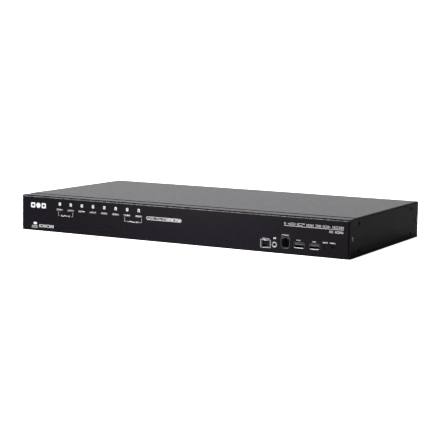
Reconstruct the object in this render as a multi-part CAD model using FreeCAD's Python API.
import FreeCAD, Part
import math
import os

# An eight-port KVM switch in a one-unit rack case, modelled at its real size in millimetres.
# The origin is the centre of the case's bottom face. +X runs to the right as seen from the
# front, -Y is the front, +Y the rear and +Z is up.

os.makedirs("parts", exist_ok=True)

Vector = FreeCAD.Vector

# ---------------------------------------------------------------- driving dimensions

# Case
CASE_WIDTH = 434.0
CASE_DEPTH = 218.0
CASE_HEIGHT = 44.0
SHEET = 1.2
BEND = 1.2
SEAM = 0.3
COVER_SETBACK = 0.3
LIP_GAP = 0.4
LIP_BOTTOM = 34.0
STRIP_DEPTH = 16.7
STRIP_DROP = 0.45
FLANGE_DEPTH = 14.0

FRONT_Y = -CASE_DEPTH / 2
REAR_Y = CASE_DEPTH / 2
COVER_X = CASE_WIDTH / 2
TRAY_X = COVER_X - SHEET - SEAM
PANEL_REAR_Y = REAR_Y - SHEET - LIP_GAP
INNER_FRONT_Y = FRONT_Y + SHEET
INNER_REAR_Y = PANEL_REAR_Y - SHEET
FLANGE_TOP = CASE_HEIGHT - STRIP_DROP - SHEET - 0.1
WALL_TOP = FLANGE_TOP - SHEET

# Fixings in the case walls
RACK_HOLE_Y = (FRONT_Y + 24.5, FRONT_Y + 192.0)
RACK_HOLE_Z = (7.0, 37.0)
RACK_HOLE_RADIUS = 2.25
RACK_NUT_BORE = 1.77
RACK_NUT_SPIGOT = 2.8
RACK_NUT_RADIUS = 4.2
RACK_NUT_LENGTH = 3.8
SCREW_RADIUS = 1.45
SCREW_HOLE = 1.5
SCREW_CLEARANCE = 1.7
SCREW_HEAD_RADIUS = 2.6
SCREW_HEAD_HEIGHT = 1.1
SCREW_CROWN = 0.5
SCREW_RECESS = (3.0, 0.7, 0.6)
WASHER = (4.5, 0.8)
SCREW_LENGTH = 5.0
SIDE_SCREW_Y = (FRONT_Y + 5.0, FRONT_Y + 212.0)
SIDE_SCREW_Z = 22.0
REAR_SCREW_X = (-180.0, 0.0, 180.0)
REAR_SCREW_Z = 38.4

# Port selector at the left of the front panel
PORT_COUNT = 8
SELECT_X = [-161.2 + 16.0 * index for index in range(PORT_COUNT)]
WINDOW_Z = 34.9
WINDOW_WIDTH = 3.2
WINDOW_HEIGHT = 3.9
WINDOW_CORNER = 0.6
WINDOW_PROUD = 0.15
WINDOW_EDGE = 0.12
WINDOW_CLEARANCE = 0.1
LENS_BAR_MARGIN = (7.0, 3.9)
BUTTON_Z = 27.7
BUTTON_WIDTH = 10.0
BUTTON_HEIGHT = 2.4
BUTTON_PROUD = 0.7
BUTTON_CROWN = 0.6
BUTTON_TRAVEL = 0.5
BUTTON_STEM = 1.5
PANEL_CLEARANCE = 0.15
USB_A_OPENING = (14.0, 7.2)
RJ11_OPENING_SCALE = 1.025

# Sockets, reset button and lamp at the right of the front panel, as (x, z) centres
FRONT_USB_B = (116.2, 9.8)
FRONT_AUDIO = (127.3, 9.3)
FRONT_RJ11 = (140.4, 12.7)
FRONT_USB_A = (("front_usb_a_left", 156.9), ("front_usb_a_right", 175.5))
FRONT_USB_A_Z = 11.1
RESET = (188.8, 11.9)
LAMP = (197.1, 12.2)
LAMP_WIDTH = 4.5
LAMP_HEIGHT = 2.8
RESET_RADIUS = 1.5
RESET_RECESS = 0.9

# Circuit boards
BOARD = 1.6
MAIN_TOP = 8.6
MAIN_X = (-204.0, 150.0)
MAIN_Y = (-32.0, INNER_REAR_Y - 0.4)
POWER_X = (155.0, 208.0)
POWER_Y = (-46.0, 66.0)
IO_TOP = 4.5
IO_X = (104.0, 206.0)
IO_Y = (INNER_FRONT_Y + 0.4, -62.0)
FACE_BOARD_Y = -99.4
FACE_BOARD_X = (-179.0, -31.0)
FACE_BOARD_Z = (6.0, 40.5)
MAIN_POSTS = [(x, y) for x in (-197.0, -77.5, 27.5, 143.0) for y in (-25.0, 82.0)]
POWER_POSTS = [(x, y) for x in (160.0, 203.0) for y in (-41.0, 61.0)]
IO_POSTS = [(109.0, -67.0), (201.0, -67.0), (201.0, -97.0)]
FACE_POSTS = [(x, z) for x in (-175.0, -35.0) for z in (11.0, 36.5)]
POST_RADIUS = 3.0

# Rear sockets
GROUP_PITCH = 35.0
GROUP_X = [80.0 - GROUP_PITCH * index for index in range(PORT_COUNT)]
VIDEO_OFFSET = 7.5
USB_B_OFFSET = -9.0
SOCKET_PROUD = 0.4
REAR_CLEARANCE = 0.25
VIDEO_WIDTH = 15.0
VIDEO_HEIGHT = 5.6
USB_B_HEIGHT = 10.8
USB_STACK_HEIGHT = 15.4
VIDEO_Z = MAIN_TOP + VIDEO_HEIGHT / 2
USB_B_Z = MAIN_TOP + USB_B_HEIGHT / 2
USB_STACK_Z = MAIN_TOP + USB_STACK_HEIGHT / 2
AUDIO_Z = MAIN_TOP + 4.2
VENT_PITCH = 5.0
VENT_START = (-165.0, -75.0, 15.0)
VENT_COUNT = 14
CONSOLE_VIDEO_X = 138.0
CONSOLE_USB_X = 119.0
CONSOLE_AUDIO_X = 103.5
VENT_X = [start + VENT_PITCH * step for start in VENT_START for step in range(VENT_COUNT)]
VENT_Z = (25.0, 31.0)
VENT_WIDTH = 2.0
GROUND = (-198.0, 14.0)

# Mains inlet and rocker switch at the rear
INLET = (192.0, 21.0)
INLET_FLANGE = (30.0, 23.0, 2.2)
INLET_BODY = (27.0, 19.6)
INLET_CAVITY = (24.0, 16.0)
INLET_DEPTH = 19.0
ROCKER = (165.0, 21.0)
ROCKER_FLANGE = (15.0, 21.0, 2.0)
ROCKER_BODY = (13.0, 19.0)
ROCKER_DEPTH = 16.0
ROCKER_CAVITY = (11.8, 17.4)
ROCKER_SWING = 20.0
ROCKER_PIVOT_Y = PANEL_REAR_Y + 1.0


# ---------------------------------------------------------------- shapes used all over

def slab(x, y, z):
    """A box from its (low, high) pairs."""
    return Part.makeBox(x[1] - x[0], y[1] - y[0], z[1] - z[0], Vector(x[0], y[0], z[0]))


def plate(x, z, width, height, y0, y1):
    """A box centred on (x, z) that runs from y0 to y1."""
    return slab((x - width / 2, x + width / 2), (y0, y1), (z - height / 2, z + height / 2))


def rod_x(y, z, radius, x0, x1):
    """A cylinder along X."""
    return Part.makeCylinder(radius, x1 - x0, Vector(x0, y, z), Vector(1, 0, 0))


def rod_y(x, z, radius, y0, y1):
    """A cylinder along Y."""
    return Part.makeCylinder(radius, y1 - y0, Vector(x, y0, z), Vector(0, 1, 0))


def rod_z(x, y, radius, z0, z1):
    """A cylinder along Z."""
    return Part.makeCylinder(radius, z1 - z0, Vector(x, y, z0), Vector(0, 0, 1))


def prism(outline, y0, y1):
    """A prism along Y whose section is the closed outline of (x, z) points."""
    points = [Vector(x, y0, z) for x, z in outline]
    return Part.Face(Part.makePolygon(points + points[:1])).extrude(Vector(0, y1 - y0, 0))


def hexagon(radius, length, base, axis):
    """A hexagonal bar that starts at base and runs along axis."""
    bar = Part.Face(Part.makePolygon([
        Vector(radius * math.cos(math.radians(60 * k)), radius * math.sin(math.radians(60 * k)), 0)
        for k in range(7)])).extrude(Vector(0, 0, length))
    bar.Placement = FreeCAD.Placement(base, FreeCAD.Rotation(Vector(0, 0, 1), axis))
    return bar


def oval(x, z, width, height, y0, y1):
    """A flat bar with full round ends, centred on (x, z), along Y."""
    reach = (width - height) / 2
    ends = [rod_y(x + side * reach, z, height / 2, y0, y1) for side in (-1, 1)]
    return plate(x, z, width - height, height, y0, y1).multiFuse(ends).removeSplitter()


def edges_in_plane(shape, axis, value):
    """The edges that lie wholly where one coordinate has the given value."""
    def lies_in(edge):
        low = getattr(edge.BoundBox, axis + "Min")
        high = getattr(edge.BoundBox, axis + "Max")
        return abs(low - value) < 1e-3 and abs(high - value) < 1e-3
    return [edge for edge in shape.Edges if lies_in(edge)]


def edges_along(shape, axis):
    """The straight edges that run along one axis."""
    others = [name for name in "XYZ" if name != axis]
    return [edge for edge in shape.Edges
            if all(getattr(edge.BoundBox, name + "Length") < 1e-3 for name in others)]


def wire_run(points, radius):
    """An insulated wire: straight runs joined by tangent bends."""
    bend = 3.0 * radius
    edges = []
    start = points[0]
    for corner, after in zip(points[1:-1], points[2:]):
        into = (corner - start).normalize()
        out = (after - corner).normalize()
        turn = into.getAngle(out)
        cut = bend * math.tan(turn / 2)
        arc_start = corner - into * cut
        arc_end = corner + out * cut
        middle_way = (out - into).normalize()
        arc_middle = corner + middle_way * (bend / math.cos(turn / 2) - bend)
        edges.append(Part.LineSegment(start, arc_start).toShape())
        edges.append(Part.Arc(arc_start, arc_middle, arc_end).toShape())
        start = arc_end
    edges.append(Part.LineSegment(start, points[-1]).toShape())
    section = Part.Wire(Part.Circle(points[0], points[1] - points[0], radius).toShape())
    return Part.Wire(edges).makePipeShell([section], True, True)


def screw(base, axis, length):
    """A pan-head machine screw whose head sits at base and points along axis."""
    head = Part.makeCylinder(SCREW_HEAD_RADIUS, SCREW_HEAD_HEIGHT, Vector(0, 0, 0))
    crown = edges_in_plane(head, "Z", SCREW_HEAD_HEIGHT)
    head = head.makeFillet(SCREW_CROWN, crown)
    reach, breadth, depth = SCREW_RECESS
    long = (-reach / 2, reach / 2)
    short = (-breadth / 2, breadth / 2)
    heights = (SCREW_HEAD_HEIGHT - depth, SCREW_HEAD_HEIGHT + 1)
    recess = [slab(long, short, heights), slab(short, long, heights)]
    shank = rod_z(0, 0, SCREW_RADIUS, -length, 0.2)
    whole = head.fuse(shank).cut(recess)
    whole.Placement = FreeCAD.Placement(base, FreeCAD.Rotation(Vector(0, 0, 1), axis))
    return whole


def seat(shape, x, y, z, faces_rear=False):
    """Puts a piece that is drawn at the origin, facing -Y, in its place."""
    placed = shape.copy()
    if faces_rear:
        placed.rotate(Vector(0, 0, 0), Vector(0, 0, 1), 180)
    placed.translate(Vector(x, y, z))
    return placed


def save(name, *solids):
    """Writes one node: a single solid, or a group of separate ones."""
    shape = solids[0] if len(solids) == 1 else Part.makeCompound(list(solids))
    assert shape.isValid(), name
    shape.exportStep("parts/" + name + ".step")


# ---------------------------------------------------------------- sockets, drawn facing -Y

VIDEO_MOUTH = ((-7.0, 2.3), (7.0, 2.3), (7.0, -0.6), (5.6, -2.2), (-5.6, -2.2), (-7.0, -0.6))
VIDEO_SHELL = ((-7.5, 2.8), (7.5, 2.8), (7.5, -0.8), (5.8, -2.8), (-5.8, -2.8), (-7.5, -0.8))
USB_B_MOUTH = ((-4.2, -3.9), (4.2, -3.9), (4.2, 2.3), (2.8, 3.9), (-2.8, 3.9), (-4.2, 2.3))
RJ11_MOUTH = ((-4.9, 5.7), (4.9, 5.7), (4.9, -3.2), (2.9, -6.0), (-2.9, -6.0), (-4.9, -3.2))
RJ11_NOSE = ((-5.5, 6.3), (5.5, 6.3), (5.5, -3.4), (3.2, -6.6), (-3.2, -6.6), (-5.5, -3.4))

# Depths behind each socket's mouth plane, and tongues as (z, width, height)
VIDEO_DEPTH = 11.0
VIDEO_MOUTH_DEPTH = 9.0
VIDEO_TONGUE = (0.45, 11.2, 1.0)
USB_B_DEPTH = 16.0
USB_B_MOUTH_DEPTH = 9.5
USB_B_CORNER = 0.8
USB_B_RIM = 0.6
USB_B_FACE_DEPTH = 0.4
USB_B_BLOCK = (0.3, 5.6, 3.2)
USB_B_BLOCK_DEPTH = 1.2
FRONT_USB_B_SIZE = (13.0, 9.4)
REAR_USB_B_WIDTH = 12.0
USB_A_DEPTH = 14.0
USB_A_SIZE = (13.2, 5.9)
USB_A_WALL = 0.4
USB_A_LIP = 0.5
USB_A_LIP_INSET = 1.3
USB_A_TONGUE = (1.0, 11.1, 1.8)
USB_A_TONGUE_DEPTH = 0.9
USB_STACK_WIDTH = 13.4
USB_STACK_DEPTH = 17.0
USB_STACK_MOUTH = (12.5, 5.2)
JACK_DEPTH = 14.0
JACK_BUSHING = 3.2
JACK_BORE = 1.8
JACK_LEAD_IN = 2.3
JACK_HALF_WIDTH = 4.0
JACK_TOP = 4.2
RJ11_DEPTH = 16.0
RJ11_MOUTH_DEPTH = 13.5
RJ11_HALF_WIDTH = 6.6
RJ11_TOP = 7.2
RJ11_SHOULDER_X = (1.9, 5.0)
RJ11_SHOULDER_Y = (0.7, 4.0)
RJ11_SHOULDER_Z = (4.5, 5.8)


def video_socket():
    """A metal-shelled video socket with its contact tongue."""
    shell = prism(VIDEO_SHELL, 0, VIDEO_DEPTH)
    hollow = prism(VIDEO_MOUTH, -1, VIDEO_MOUTH_DEPTH)
    tongue = plate(0, *VIDEO_TONGUE, 1.0, VIDEO_MOUTH_DEPTH + 1.0)
    return shell.cut(hollow).fuse(tongue)


def usb_b_socket(width, height, depth):
    """A square USB type B socket: shell rim, recessed face, mouth and centre block."""
    body = plate(0, 0, width, height, 0, depth)
    body = body.makeFillet(USB_B_CORNER, edges_along(body, "Y"))
    face = plate(0, 0, width - 2 * USB_B_RIM, height - 2 * USB_B_RIM, -1, USB_B_FACE_DEPTH)
    mouth = prism(USB_B_MOUTH, -1, USB_B_MOUTH_DEPTH)
    block = plate(0, *USB_B_BLOCK, USB_B_BLOCK_DEPTH, USB_B_MOUTH_DEPTH + 0.5)
    return body.cut(face).cut(mouth).fuse(block)


def usb_a_shell():
    """The folded shell of a USB type A socket, open at the front, with flared lips."""
    width, height = USB_A_SIZE
    outer = plate(0, 0, width, height, 0, USB_A_DEPTH)
    outer = outer.makeFillet(USB_A_WALL, edges_along(outer, "Y"))
    inside = 2 * USB_A_WALL
    shell = outer.cut(plate(0, 0, width - inside, height - inside, -1, USB_A_DEPTH - 1.0))
    thickness = USB_A_WALL + 0.05
    outline = ((0, 0), (-USB_A_LIP, USB_A_LIP), (-USB_A_LIP, USB_A_LIP - thickness), (0, -thickness))
    length = width - 2 * USB_A_LIP_INSET
    for side in (-1, 1):
        points = [Vector(-length / 2, y, side * (height / 2 + out)) for y, out in outline]
        lip = Part.Face(Part.makePolygon(points + points[:1])).extrude(Vector(length, 0, 0))
        shell = shell.fuse(lip)
    return shell


def usb_a_socket(riser):
    """A single USB type A socket on a raised plastic base."""
    width, height = USB_A_SIZE
    tongue = plate(0, *USB_A_TONGUE, USB_A_TONGUE_DEPTH, USB_A_DEPTH - 0.5)
    base = slab((-width / 2, width / 2), (2.0, USB_A_DEPTH), (-height / 2 - riser, -height / 2))
    return usb_a_shell().fuse(tongue).fuse(base)


def usb_a_stack():
    """Two USB type A sockets in one tall shell, parted by a bar."""
    stack = plate(0, 0, USB_STACK_WIDTH, USB_STACK_HEIGHT, 0, USB_STACK_DEPTH)
    stack = stack.makeFillet(USB_A_WALL, edges_along(stack, "Y"))
    rise, width, height = USB_A_TONGUE
    for centre in (-USB_STACK_HEIGHT / 4 - 0.3, USB_STACK_HEIGHT / 4 + 0.3):
        stack = stack.cut(plate(0, centre, *USB_STACK_MOUTH, -1, USB_STACK_DEPTH - 2.0))
        tongue = plate(0, centre + rise, width, height, USB_A_TONGUE_DEPTH, USB_STACK_DEPTH - 1.0)
        stack = stack.fuse(tongue)
    return stack


def audio_jack(height):
    """A 3.5 mm audio socket: a block with a round bushing that passes through the panel."""
    block = slab((-JACK_HALF_WIDTH, JACK_HALF_WIDTH), (SHEET + 0.9, JACK_DEPTH), (-height, JACK_TOP))
    bushing = rod_y(0, 0, JACK_BUSHING, 0, SHEET + 1.5)
    bushing = bushing.makeFillet(0.35, edges_in_plane(bushing, "Y", 0.0))
    bore = rod_y(0, 0, JACK_BORE, -1, JACK_DEPTH - 1.5)
    lead_in = Part.makeCone(JACK_LEAD_IN, JACK_BORE, 0.5, Vector(0, 0, 0), Vector(0, 1, 0))
    return block.fuse(bushing).cut(bore).cut(lead_in)


def rj11_jack(board_drop):
    """A telephone-style socket: a nose in the panel, latch slot below, and its housing."""
    nose = prism(RJ11_NOSE, 0, SHEET + 0.6)
    housing = slab((-RJ11_HALF_WIDTH, RJ11_HALF_WIDTH), (SHEET + 0.4, RJ11_DEPTH), (-board_drop, RJ11_TOP))
    mouth = prism(RJ11_MOUTH, -1, RJ11_MOUTH_DEPTH)
    near, far = RJ11_SHOULDER_X
    shoulders = [slab(span, RJ11_SHOULDER_Y, RJ11_SHOULDER_Z) for span in ((near, far), (-far, -near))]
    return nose.fuse(housing).cut(mouth).multiFuse(shoulders)


# ---------------------------------------------------------------- case

def window_block(x, clearance, y0, y1):
    """A round-cornered block of a number window's section, less a clearance."""
    block = plate(x, WINDOW_Z, WINDOW_WIDTH - clearance, WINDOW_HEIGHT - clearance, y0, y1)
    return block.makeFillet(WINDOW_CORNER, edges_along(block, "Y"))


def front_openings():
    """Everything that the front panel is pierced for."""
    cuts = []
    for x in SELECT_X:
        cuts.append(window_block(x, 0.0, FRONT_Y - 1, INNER_FRONT_Y + 1))
        cuts.append(oval(x, BUTTON_Z, BUTTON_WIDTH + 2 * PANEL_CLEARANCE,
                         BUTTON_HEIGHT + 2 * PANEL_CLEARANCE, FRONT_Y - 1, INNER_FRONT_Y + 1))
    width, height = FRONT_USB_B_SIZE
    cuts.append(plate(*FRONT_USB_B, width + 2 * PANEL_CLEARANCE, height + 2 * PANEL_CLEARANCE,
                      FRONT_Y - 1, INNER_FRONT_Y + 1))
    cuts.append(rod_y(*FRONT_AUDIO, JACK_BUSHING + PANEL_CLEARANCE, FRONT_Y - 1, INNER_FRONT_Y + 1))
    nose_cut = [(x * RJ11_OPENING_SCALE, z * RJ11_OPENING_SCALE) for x, z in RJ11_NOSE]
    cuts.append(seat(prism(nose_cut, -1, SHEET + 1), FRONT_RJ11[0], FRONT_Y, FRONT_RJ11[1]))
    for _, x in FRONT_USB_A:
        cuts.append(plate(x, FRONT_USB_A_Z, *USB_A_OPENING, FRONT_Y - 1, INNER_FRONT_Y + 1))
    cuts.append(rod_y(*RESET, RESET_RADIUS + PANEL_CLEARANCE, FRONT_Y - 1, INNER_FRONT_Y + 1))
    cuts.append(oval(*LAMP, LAMP_WIDTH + 0.1, LAMP_HEIGHT + 0.1, FRONT_Y - 1, INNER_FRONT_Y + 1))
    return cuts


def rear_openings():
    """Everything that the rear panel is pierced for."""
    y0 = INNER_REAR_Y - 1
    y1 = PANEL_REAR_Y + 1
    gap = 2 * REAR_CLEARANCE
    cuts = []
    for x in GROUP_X:
        cuts.append(plate(x + VIDEO_OFFSET, VIDEO_Z, VIDEO_WIDTH + gap, VIDEO_HEIGHT + gap, y0, y1))
        cuts.append(plate(x + USB_B_OFFSET, USB_B_Z, REAR_USB_B_WIDTH + gap, USB_B_HEIGHT + gap, y0, y1))
    cuts.append(plate(CONSOLE_VIDEO_X, VIDEO_Z, VIDEO_WIDTH + gap, VIDEO_HEIGHT + gap, y0, y1))
    cuts.append(plate(CONSOLE_USB_X, USB_STACK_Z, USB_STACK_WIDTH + gap, USB_STACK_HEIGHT + gap, y0, y1))
    cuts.append(rod_y(CONSOLE_AUDIO_X, AUDIO_Z, JACK_BUSHING + PANEL_CLEARANCE, y0, y1))
    cuts.append(plate(*INLET, INLET_BODY[0] + 0.2, INLET_BODY[1] + 0.2, y0, y1))
    cuts.append(plate(*ROCKER, ROCKER_BODY[0] + 0.2, ROCKER_BODY[1] + 0.2, y0, y1))
    cuts.append(rod_y(*GROUND, SCREW_HOLE, y0, y1))
    for x in REAR_SCREW_X:
        cuts.append(rod_y(x, REAR_SCREW_Z, SCREW_HOLE, y0, y1))
    for x in VENT_X:
        cuts.append(slab((x, x + VENT_WIDTH), (y0, y1), VENT_Z))
    return cuts


def side_holes(rack_radius, screw_radius):
    """The rack-ear and cover-screw holes, right through both side walls."""
    cuts = []
    for y in RACK_HOLE_Y:
        for z in RACK_HOLE_Z:
            cuts.append(rod_x(y, z, rack_radius, -COVER_X - 1, 1 - COVER_X + SHEET * 2))
            cuts.append(rod_x(y, z, rack_radius, COVER_X - SHEET * 2 - 1, COVER_X + 1))
    for y in SIDE_SCREW_Y:
        cuts.append(rod_x(y, SIDE_SCREW_Z, screw_radius, -COVER_X - 1, 1 - COVER_X + SHEET * 2))
        cuts.append(rod_x(y, SIDE_SCREW_Z, screw_radius, COVER_X - SHEET * 2 - 1, COVER_X + 1))
    return cuts


def base_tray():
    """Floor, four walls and the front panel's top flange, folded from one sheet."""
    outer = slab((-TRAY_X, TRAY_X), (FRONT_Y, PANEL_REAR_Y), (0, FLANGE_TOP))
    open_edges = [edge for edge in edges_in_plane(outer, "Z", FLANGE_TOP)
                  if edge.BoundBox.YMax > FRONT_Y + 1]
    folds = [edge for edge in outer.Edges if not any(edge.isSame(other) for other in open_edges)]
    outer = outer.makeFillet(BEND, folds)
    hollow = slab((-TRAY_X + SHEET, TRAY_X - SHEET), (INNER_FRONT_Y, INNER_REAR_Y), (SHEET, WALL_TOP))
    above = slab((-COVER_X, COVER_X), (FRONT_Y + FLANGE_DEPTH, REAR_Y), (WALL_TOP, CASE_HEIGHT))
    cuts = front_openings() + rear_openings() + side_holes(RACK_NUT_SPIGOT, SCREW_HOLE)
    return outer.cut(hollow).cut(above).cut(cuts)


def channel(y0, y1, top):
    """A length of the cover: top and both side walls, with rounded long edges."""
    outer = slab((-COVER_X, COVER_X), (y0, y1), (0.2, top))
    long_edges = [edge for edge in edges_along(outer, "Y") if edge.BoundBox.ZMin > top - 1]
    outer = outer.makeFillet(BEND + 0.6, long_edges)
    inner = slab((-COVER_X + SHEET, COVER_X - SHEET), (y0 - 1, y1 + 1), (-1, top - SHEET))
    inner_edges = [edge for edge in edges_along(inner, "Y") if edge.BoundBox.ZMin > 1]
    return outer.cut(inner.makeFillet(0.6, inner_edges))


def top_cover():
    """The lid: a channel with a lowered strip along its front edge and a lip at the rear."""
    strip_end = FRONT_Y + STRIP_DEPTH
    strip = channel(FRONT_Y + COVER_SETBACK, strip_end + SHEET, CASE_HEIGHT - STRIP_DROP)
    roof = channel(strip_end, REAR_Y, CASE_HEIGHT)
    lip = slab((-COVER_X + SHEET, COVER_X - SHEET), (REAR_Y - SHEET, REAR_Y),
               (LIP_BOTTOM, CASE_HEIGHT - SHEET))
    cuts = side_holes(RACK_HOLE_RADIUS, SCREW_CLEARANCE)
    for x in REAR_SCREW_X:
        cuts.append(rod_y(x, REAR_SCREW_Z, SCREW_CLEARANCE, REAR_Y - 3, REAR_Y + 1))
    return roof.fuse(strip).fuse(lip).cut(cuts)


def rack_nut(side, y, z):
    """A press-in nut behind a rack-ear hole, flush with the tray wall's outside."""
    wall_out = side * TRAY_X
    wall_in = side * (TRAY_X - SHEET)
    flange_in = side * (TRAY_X - SHEET - RACK_NUT_LENGTH)
    spigot = rod_x(y, z, RACK_NUT_SPIGOT - 0.02, min(wall_out, wall_in), max(wall_out, wall_in))
    collar = rod_x(y, z, RACK_NUT_RADIUS, min(wall_in, flange_in), max(wall_in, flange_in))
    bore = rod_x(y, z, RACK_NUT_BORE, min(wall_out, flange_in) - 1, max(wall_out, flange_in) + 1)
    return spigot.fuse(collar).cut(bore)


def make_case():
    """Writes the sheet-metal case and what fastens it."""
    save("base_tray", base_tray())
    save("top_cover", top_cover())
    nuts = [rack_nut(side, y, z) for side in (-1, 1) for y in RACK_HOLE_Y for z in RACK_HOLE_Z]
    save("rack_nuts", *nuts)
    fixings = [screw(Vector(side * COVER_X, y, SIDE_SCREW_Z), Vector(side, 0, 0), SCREW_LENGTH)
               for side in (-1, 1) for y in SIDE_SCREW_Y]
    fixings += [screw(Vector(x, REAR_Y, REAR_SCREW_Z), Vector(0, 1, 0), SCREW_LENGTH)
                for x in REAR_SCREW_X]
    save("cover_screws", *fixings)
    radius, thickness = WASHER
    washer = rod_y(*GROUND, radius, PANEL_REAR_Y, PANEL_REAR_Y + thickness)
    washer = washer.cut(rod_y(*GROUND, SCREW_CLEARANCE, PANEL_REAR_Y - 1, PANEL_REAR_Y + 2))
    stud = screw(Vector(GROUND[0], PANEL_REAR_Y + thickness, GROUND[1]), Vector(0, 1, 0), SCREW_LENGTH)
    save("ground_screw", washer, stud)


# ---------------------------------------------------------------- boards and their fixings

def drilled_board(x, y, top, posts):
    """A horizontal circuit board with its fixing holes."""
    board = slab(x, y, (top - BOARD, top))
    board = board.makeFillet(2.0, edges_along(board, "Z"))
    return board.cut([rod_z(px, py, SCREW_CLEARANCE, top - BOARD - 1, top + 1) for px, py in posts])


def standing_post(x, y, top):
    """A hexagonal post from the tray's floor to a board's underside."""
    post = hexagon(POST_RADIUS, top - BOARD - SHEET, Vector(x, y, SHEET), Vector(0, 0, 1))
    return post.cut(rod_z(x, y, SCREW_HOLE, SHEET + 0.2, top))


def panel_post(x, z):
    """A hexagonal post from the front panel's inner face to the upright board."""
    post = hexagon(POST_RADIUS, FACE_BOARD_Y - INNER_FRONT_Y, Vector(x, INNER_FRONT_Y, z), Vector(0, 1, 0))
    return post.cut(rod_y(x, z, SCREW_HOLE, INNER_FRONT_Y + 2.0, FACE_BOARD_Y + 1))


def make_boards():
    """Writes the circuit boards, the insulator and their posts and screws."""
    save("main_board", drilled_board(MAIN_X, MAIN_Y, MAIN_TOP, MAIN_POSTS))
    save("power_board", drilled_board(POWER_X, POWER_Y, MAIN_TOP, POWER_POSTS))
    save("front_io_board", drilled_board(IO_X, IO_Y, IO_TOP, IO_POSTS))
    face = slab(FACE_BOARD_X, (FACE_BOARD_Y, FACE_BOARD_Y + BOARD), FACE_BOARD_Z)
    face = face.makeFillet(2.0, edges_along(face, "Y"))
    holes = [rod_y(x, z, SCREW_CLEARANCE, FACE_BOARD_Y - 1, FACE_BOARD_Y + 3) for x, z in FACE_POSTS]
    save("front_board", face.cut(holes))

    sheet = slab((POWER_X[0] - 2, POWER_X[1] + 2), (POWER_Y[0] - 3, POWER_Y[1] + 3),
                 (SHEET + 0.05, SHEET + 0.45))
    sheet = sheet.cut([rod_z(x, y, POST_RADIUS + 0.3, 0, 3) for x, y in POWER_POSTS])
    save("power_insulator", sheet)

    posts = [standing_post(x, y, MAIN_TOP) for x, y in MAIN_POSTS + POWER_POSTS]
    posts += [standing_post(x, y, IO_TOP) for x, y in IO_POSTS]
    posts += [panel_post(x, z) for x, z in FACE_POSTS]
    save("board_standoffs", *posts)

    screws = [screw(Vector(x, y, MAIN_TOP), Vector(0, 0, 1), 4.0) for x, y in MAIN_POSTS + POWER_POSTS]
    screws += [screw(Vector(x, y, IO_TOP), Vector(0, 0, 1), 2.8) for x, y in IO_POSTS]
    screws += [screw(Vector(x, FACE_BOARD_Y + BOARD, z), Vector(0, 1, 0), 5.0) for x, z in FACE_POSTS]
    save("board_screws", *screws)


PORT_CHIP = (62.0, 12.0, 1.2)
MAIN_CHIP = (28.0, 2.4)
CONSOLE_CHIP = (90.0, 14.0, 16.0, 1.6)
SINK_SIZE = 36.0
SINK_BASE = 2.5
SINK_HEIGHT = 12.0
FIN_COUNT = 9
FIN_THICKNESS = 1.2
FIN_PITCH = 4.35
HEADER_SIZE = (24.0, 6.0, 6.0)
FACE_HEADER = (-105.0, 16.0)
MAIN_HEADERS = ((-105.0, -25.0), (126.0, -25.0))
IO_HEADER = (126.0, -68.0)
CHIP_CENTRE = (-25.0, 22.0)
DC_HEADER_X = (MAIN_X[1] - 6.0, POWER_X[0] + 9.0)
DC_HEADER_Y = 10.0
DC_HEADER_TOP = MAIN_TOP + 7.0


def header(x, y, z):
    """A ribbon-cable header standing on a board at height z."""
    width, depth, height = HEADER_SIZE
    return slab((x - width / 2, x + width / 2), (y - depth / 2, y + depth / 2), (z, z + height))


def chip(x, y, size, height):
    """A chip package on the main board."""
    package = slab((x - size / 2, x + size / 2), (y - size / 2, y + size / 2), (MAIN_TOP, MAIN_TOP + height))
    return package.makeChamfer(0.3, edges_in_plane(package, "Z", MAIN_TOP + height))


def make_board_components():
    """Writes the chips, the cable headers and the heat sink."""
    chips = [chip(x, *PORT_CHIP) for x in GROUP_X]
    chips.append(chip(*CHIP_CENTRE, *MAIN_CHIP))
    chips.append(chip(*CONSOLE_CHIP))
    headers = [header(x, y, MAIN_TOP) for x, y in MAIN_HEADERS]
    headers.append(header(*IO_HEADER, IO_TOP))
    width, depth, height = HEADER_SIZE
    x, z = FACE_HEADER
    headers.append(plate(x, z, width, height, FACE_BOARD_Y + BOARD, FACE_BOARD_Y + BOARD + depth))
    for x in DC_HEADER_X:
        headers.append(slab((x - 3, x + 3), (DC_HEADER_Y - 7, DC_HEADER_Y + 7), (MAIN_TOP, DC_HEADER_TOP)))
    save("board_components", *chips, *headers)

    x, y = CHIP_CENTRE
    base = MAIN_TOP + MAIN_CHIP[1]
    left = x - SINK_SIZE / 2
    rows = (y - SINK_SIZE / 2, y + SINK_SIZE / 2)
    sink = slab((left, left + SINK_SIZE), rows, (base, base + SINK_BASE))
    fin_z = (base + SINK_BASE - 0.5, base + SINK_HEIGHT)
    for index in range(FIN_COUNT):
        fin_x = left + FIN_PITCH * index
        sink = sink.fuse(slab((fin_x, fin_x + FIN_THICKNESS), rows, fin_z))
    save("chip_heat_sink", sink)


# ---------------------------------------------------------------- front panel pieces

LENS_BACK_Y = INNER_FRONT_Y + 2.2
BUTTON_FLANGE = (INNER_FRONT_Y + 0.1, INNER_FRONT_Y + 1.1)
GUIDE_Y = (INNER_FRONT_Y + 2.0, INNER_FRONT_Y + 3.5)
BUTTON_END_Y = INNER_FRONT_Y + 3.6
SWITCH_TIP_Y = BUTTON_END_Y + BUTTON_TRAVEL + 0.1


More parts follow.
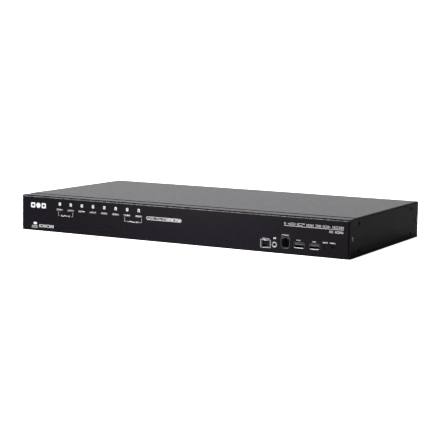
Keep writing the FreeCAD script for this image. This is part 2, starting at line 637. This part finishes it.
def lens_bar():
    """The clear bar behind the panel, with one raised window for each port number."""
    across, above = LENS_BAR_MARGIN
    bar = slab((SELECT_X[0] - across, SELECT_X[-1] + across), (INNER_FRONT_Y, LENS_BACK_Y),
               (WINDOW_Z - above, WINDOW_Z + above))
    windows = []
    for x in SELECT_X:
        window = window_block(x, WINDOW_CLEARANCE, FRONT_Y - WINDOW_PROUD, LENS_BACK_Y)
        rim = edges_in_plane(window, "Y", FRONT_Y - WINDOW_PROUD)
        windows.append(window.makeFillet(WINDOW_EDGE, rim))
    return bar.multiFuse(windows)


def port_button(x):
    """An oval cap in the panel, its keeper flange and the stem that presses the switch."""
    cap = oval(x, BUTTON_Z, BUTTON_WIDTH, BUTTON_HEIGHT, FRONT_Y - BUTTON_PROUD, BUTTON_FLANGE[1])
    cap = cap.makeFillet(BUTTON_CROWN, edges_in_plane(cap, "Y", FRONT_Y - BUTTON_PROUD))
    flange = oval(x, BUTTON_Z, BUTTON_WIDTH + 2.0, BUTTON_HEIGHT + 2.0, *BUTTON_FLANGE)
    stem = rod_y(x, BUTTON_Z, BUTTON_STEM, BUTTON_FLANGE[0], BUTTON_END_Y)
    return cap.fuse(flange).fuse(stem).removeSplitter()


def button_guide():
    """The bar that guides the button stems, with a foot at each end on the upright board."""
    left = SELECT_X[0] - 8.0
    right = SELECT_X[-1] + 8.0
    bar = slab((left, right), GUIDE_Y, (BUTTON_Z - 4.4, BUTTON_Z + 2.9))
    feet = [slab((x, x + 3.0), (GUIDE_Y[0], FACE_BOARD_Y), (BUTTON_Z - 4.4, BUTTON_Z + 2.9))
            for x in (left, right - 3.0)]
    holes = [rod_y(x, BUTTON_Z, BUTTON_STEM + 0.08, GUIDE_Y[0] - 1, GUIDE_Y[1] + 1) for x in SELECT_X]
    return bar.multiFuse(feet).cut(holes)


def tact_switch(x, z, tip_y, back_y):
    """A small push switch on a board behind a button."""
    body = plate(x, z, 6.0, 6.0, tip_y + 0.9, back_y)
    return body.fuse(rod_y(x, z, 1.6, tip_y, tip_y + 1.5))


def reset_cap():
    """The round reset key, set back in its hole."""
    front = FRONT_Y + RESET_RECESS
    cap = rod_y(*RESET, RESET_RADIUS, front, BUTTON_FLANGE[1])
    cap = cap.makeFillet(0.3, edges_in_plane(cap, "Y", front))
    flange = rod_y(*RESET, RESET_RADIUS + 1.0, *BUTTON_FLANGE)
    stem = rod_y(*RESET, 1.0, BUTTON_FLANGE[0], BUTTON_END_Y)
    return cap.fuse(flange).fuse(stem).removeSplitter()


def lamp():
    """The power lamp: an oval light guide on a small holder that stands on the board."""
    x, z = LAMP
    lens = oval(x, z, LAMP_WIDTH, LAMP_HEIGHT, FRONT_Y + 0.1, INNER_FRONT_Y + 3.0)
    holder = slab((x - 2.6, x + 2.6), (INNER_FRONT_Y + 0.8, INNER_FRONT_Y + 6.0), (IO_TOP, z + 2.0))
    return lens.fuse(holder).removeSplitter()


def make_front():
    """Writes everything that shows in the front panel."""
    save("number_lens_bar", lens_bar())
    for number, x in enumerate(SELECT_X, start=1):
        save(f"port_button_{number}", port_button(x))
    save("button_guide", button_guide())
    leds = [rod_y(x, WINDOW_Z, 1.5, LENS_BACK_Y + 0.8, FACE_BOARD_Y) for x in SELECT_X]
    save("status_leds", *leds)
    switches = [tact_switch(x, BUTTON_Z, SWITCH_TIP_Y, FACE_BOARD_Y) for x in SELECT_X]
    x, z = RESET
    reset_switch = tact_switch(x, z, SWITCH_TIP_Y, SWITCH_TIP_Y + 4.4)
    foot = slab((x - 3, x + 3), (SWITCH_TIP_Y + 0.9, SWITCH_TIP_Y + 4.4), (IO_TOP, z))
    switches.append(reset_switch.fuse(foot).removeSplitter())
    save("tact_switches", *switches)
    save("reset_button", reset_cap())
    save("power_led", lamp())

    usb_b = usb_b_socket(*FRONT_USB_B_SIZE, USB_B_DEPTH)
    foot_z = (IO_TOP - FRONT_USB_B[1], 0.1 - FRONT_USB_B_SIZE[1] / 2)
    usb_b_foot = slab((-6.0, 6.0), (4.0, USB_B_DEPTH), foot_z)
    save("front_usb_b", seat(usb_b.fuse(usb_b_foot), FRONT_USB_B[0], FRONT_Y - 0.2, FRONT_USB_B[1]))
    jack = audio_jack(FRONT_AUDIO[1] - IO_TOP)
    save("front_audio_jack", seat(jack, FRONT_AUDIO[0], FRONT_Y - 0.5, FRONT_AUDIO[1]))
    phone = rj11_jack(FRONT_RJ11[1] - IO_TOP)
    save("front_rj11_jack", seat(phone, FRONT_RJ11[0], FRONT_Y, FRONT_RJ11[1]))
    usb_a = usb_a_socket(FRONT_USB_A_Z - USB_A_SIZE[1] / 2 - IO_TOP)
    for name, x in FRONT_USB_A:
        save(name, seat(usb_a, x, FRONT_Y + 0.2, FRONT_USB_A_Z))


# ---------------------------------------------------------------- rear sockets

def make_rear():
    """Writes the rear sockets."""
    mouth_y = PANEL_REAR_Y + SOCKET_PROUD
    video = video_socket()
    usb_b = usb_b_socket(REAR_USB_B_WIDTH, USB_B_HEIGHT, USB_B_DEPTH)
    for number, x in enumerate(GROUP_X, start=1):
        save(f"video_port_{number}", seat(video, x + VIDEO_OFFSET, mouth_y, VIDEO_Z, True))
        save(f"usb_b_port_{number}", seat(usb_b, x + USB_B_OFFSET, mouth_y, USB_B_Z, True))
    save("console_video", seat(video, CONSOLE_VIDEO_X, mouth_y, VIDEO_Z, True))
    save("console_usb_stack", seat(usb_a_stack(), CONSOLE_USB_X, mouth_y, USB_STACK_Z, True))
    jack = audio_jack(AUDIO_Z - MAIN_TOP)
    save("console_audio_jack", seat(jack, CONSOLE_AUDIO_X, mouth_y, AUDIO_Z, True))


# ---------------------------------------------------------------- power

INLET_PINS = ((-7.0, -1.5), (7.0, -1.5), (0.0, 2.5))
INLET_BACK_Y = PANEL_REAR_Y - INLET_DEPTH


def mains_inlet():
    """The three-pin mains inlet, a snap-in housing with a cavity for the lead's plug."""
    x, z = INLET
    flange = plate(x, z, INLET_FLANGE[0], INLET_FLANGE[1], PANEL_REAR_Y, PANEL_REAR_Y + INLET_FLANGE[2])
    flange = flange.makeFillet(1.6, edges_along(flange, "Y"))
    flange = flange.makeFillet(0.6, edges_in_plane(flange, "Y", PANEL_REAR_Y + INLET_FLANGE[2]))
    body = plate(x, z, INLET_BODY[0], INLET_BODY[1], INLET_BACK_Y, PANEL_REAR_Y + 0.5)
    half = INLET_CAVITY[0] / 2
    top = INLET_CAVITY[1] / 2
    outline = ((-half, -top), (half, -top), (half, top - 5), (half - 5, top), (5 - half, top),
               (-half, top - 5))
    cavity = prism(outline, INLET_BACK_Y + 3.0, PANEL_REAR_Y + 5)
    cavity.translate(Vector(x, 0, z))
    pins = [plate(x + px, z + pz, 2.0, 4.0, INLET_BACK_Y + 2, PANEL_REAR_Y - 1.0) for px, pz in INLET_PINS]
    tabs = [plate(x + px, z + pz, 6.3, 0.8, INLET_BACK_Y - 7.0, INLET_BACK_Y + 1) for px, pz in INLET_PINS]
    return flange.fuse(body).cut(cavity).multiFuse(pins + tabs)


def rocker_frame():
    """The rocker switch's bezel and housing, with blind holes for the rocker's pivots."""
    x, z = ROCKER
    flange = plate(x, z, ROCKER_FLANGE[0], ROCKER_FLANGE[1], PANEL_REAR_Y, PANEL_REAR_Y + ROCKER_FLANGE[2])
    flange = flange.makeFillet(0.8, edges_in_plane(flange, "Y", PANEL_REAR_Y + ROCKER_FLANGE[2]))
    body = plate(x, z, *ROCKER_BODY, PANEL_REAR_Y - ROCKER_DEPTH, PANEL_REAR_Y + 0.5)
    cavity = plate(x, z, *ROCKER_CAVITY, PANEL_REAR_Y - 8.0, PANEL_REAR_Y + 5)
    pivot = rod_x(ROCKER_PIVOT_Y, z, 1.05, x - 6.3, x + 6.3)
    back = PANEL_REAR_Y - ROCKER_DEPTH
    tabs = [plate(x, z + dz, 4.8, 0.8, back - 6.0, back + 1) for dz in (-6, 0, 6)]
    return flange.fuse(body).cut(cavity).cut(pivot).multiFuse(tabs)


def rocker_paddle():
    """The rocker itself, resting with its upper half pressed in."""
    x, z = ROCKER
    half_width = ROCKER_CAVITY[0] / 2 - 0.2
    radius = ROCKER_CAVITY[1] / 2 - 0.2
    face = 1.6
    drop = math.tan(math.radians(ROCKER_SWING / 2))
    drum = rod_x(0, 0, radius, -half_width, half_width)
    points = [(-5.0, -10.0), (face + 10 * drop, -10.0), (face, 0.0), (face + 10 * drop, 10.0), (-5.0, 10.0)]
    corners = [Vector(-10, py, pz) for py, pz in points]
    wedge = Part.Face(Part.makePolygon(corners + corners[:1])).extrude(Vector(20, 0, 0))
    paddle = drum.common(wedge).fuse(rod_x(0, 0, 1.0, -6.2, 6.2))
    paddle.rotate(Vector(0, 0, 0), Vector(1, 0, 0), ROCKER_SWING / 2)
    paddle.translate(Vector(x, ROCKER_PIVOT_Y, z))
    return paddle


# Capacitors as (x from the board's middle, y, radius, height)
CAPACITORS = ((-11, 38, 8.0, 26), (9, 38, 8.0, 26), (-12, -30, 5.0, 20), (12, -30, 5.0, 20))
CORE_HALF = 14.0
CORE_HEIGHT = 24.0
BOBBIN_HALF = (10.0, 18.0)
BOBBIN_Z = (MAIN_TOP + 4.0, MAIN_TOP + 20.0)


def make_power():
    """Writes the mains inlet, the rocker switch and the power supply."""
    save("ac_inlet", mains_inlet())
    save("rocker_frame", rocker_frame())
    save("rocker_paddle", rocker_paddle())

    x = (POWER_X[0] + POWER_X[1]) / 2
    core = slab((x - CORE_HALF, x + CORE_HALF), (-CORE_HALF, CORE_HALF), (MAIN_TOP, MAIN_TOP + CORE_HEIGHT))
    across, along = BOBBIN_HALF
    bobbin = slab((x - across, x + across), (-along, along), BOBBIN_Z)
    save("power_transformer", core.makeFillet(1.0, edges_along(core, "Z")).fuse(bobbin))
    cans = []
    for dx, y, radius, height in CAPACITORS:
        can = rod_z(x + dx, y, radius, MAIN_TOP, MAIN_TOP + height)
        cans.append(can.makeFillet(0.8, edges_in_plane(can, "Z", MAIN_TOP + height)))
    save("power_capacitors", *cans)


RIBBON = 1.0
RIBBON_HALF = 10.0
MAINS_WIRE = 1.1
DC_WIRE = 0.9


def ribbon(x, path):
    """A flat cable of one width that follows (y, z) points and bends squarely."""
    legs = []
    for (y0, z0), (y1, z1) in zip(path, path[1:]):
        legs.append(slab((x - RIBBON_HALF, x + RIBBON_HALF),
                         (min(y0, y1) - RIBBON / 2, max(y0, y1) + RIBBON / 2),
                         (min(z0, z1) - (RIBBON / 2 if z0 == z1 else 0),
                          max(z0, z1) + (RIBBON / 2 if z0 == z1 else 0))))
    return legs[0].multiFuse(legs[1:]).removeSplitter()


def make_wiring():
    """Writes the ribbon cables and the wires."""
    main_header_top = MAIN_TOP + HEADER_SIZE[2]
    face_header_y = FACE_BOARD_Y + BOARD + HEADER_SIZE[1] + RIBBON / 2
    crossing = 20.0
    selector = ribbon(FACE_HEADER[0], [(face_header_y, FACE_HEADER[1]), (MAIN_HEADERS[0][1], FACE_HEADER[1]),
                                       (MAIN_HEADERS[0][1], main_header_top)])
    io_ribbon = ribbon(IO_HEADER[0], [(IO_HEADER[1], IO_TOP + HEADER_SIZE[2]), (IO_HEADER[1], crossing),
                                      (MAIN_HEADERS[1][1], crossing), (MAIN_HEADERS[1][1], main_header_top)])
    save("ribbon_cables", selector, io_ribbon)

    tab_y = INLET_BACK_Y - 7.0
    board_y = POWER_Y[1] - 8.0
    wires = []
    for index, (px, pz) in enumerate(INLET_PINS):
        x = INLET[0] + px
        z = INLET[1] + pz
        drop_y = board_y - 4.0 * index
        route = [Vector(x, tab_y, z), Vector(x, drop_y, z), Vector(x, drop_y, MAIN_TOP)]
        wires.append(wire_run(route, MAINS_WIRE))
    save("mains_wires", *wires)

    left, right = DC_HEADER_X
    bow = DC_HEADER_TOP + 8.0
    feeds = [wire_run([Vector(right, y, DC_HEADER_TOP), Vector(right, y, bow), Vector(left, y, bow),
                       Vector(left, y, DC_HEADER_TOP)], DC_WIRE)
             for y in (DC_HEADER_Y - 4, DC_HEADER_Y, DC_HEADER_Y + 4)]
    save("dc_wires", *feeds)


make_case()
make_boards()
make_board_components()
make_front()
make_rear()
make_power()
make_wiring()
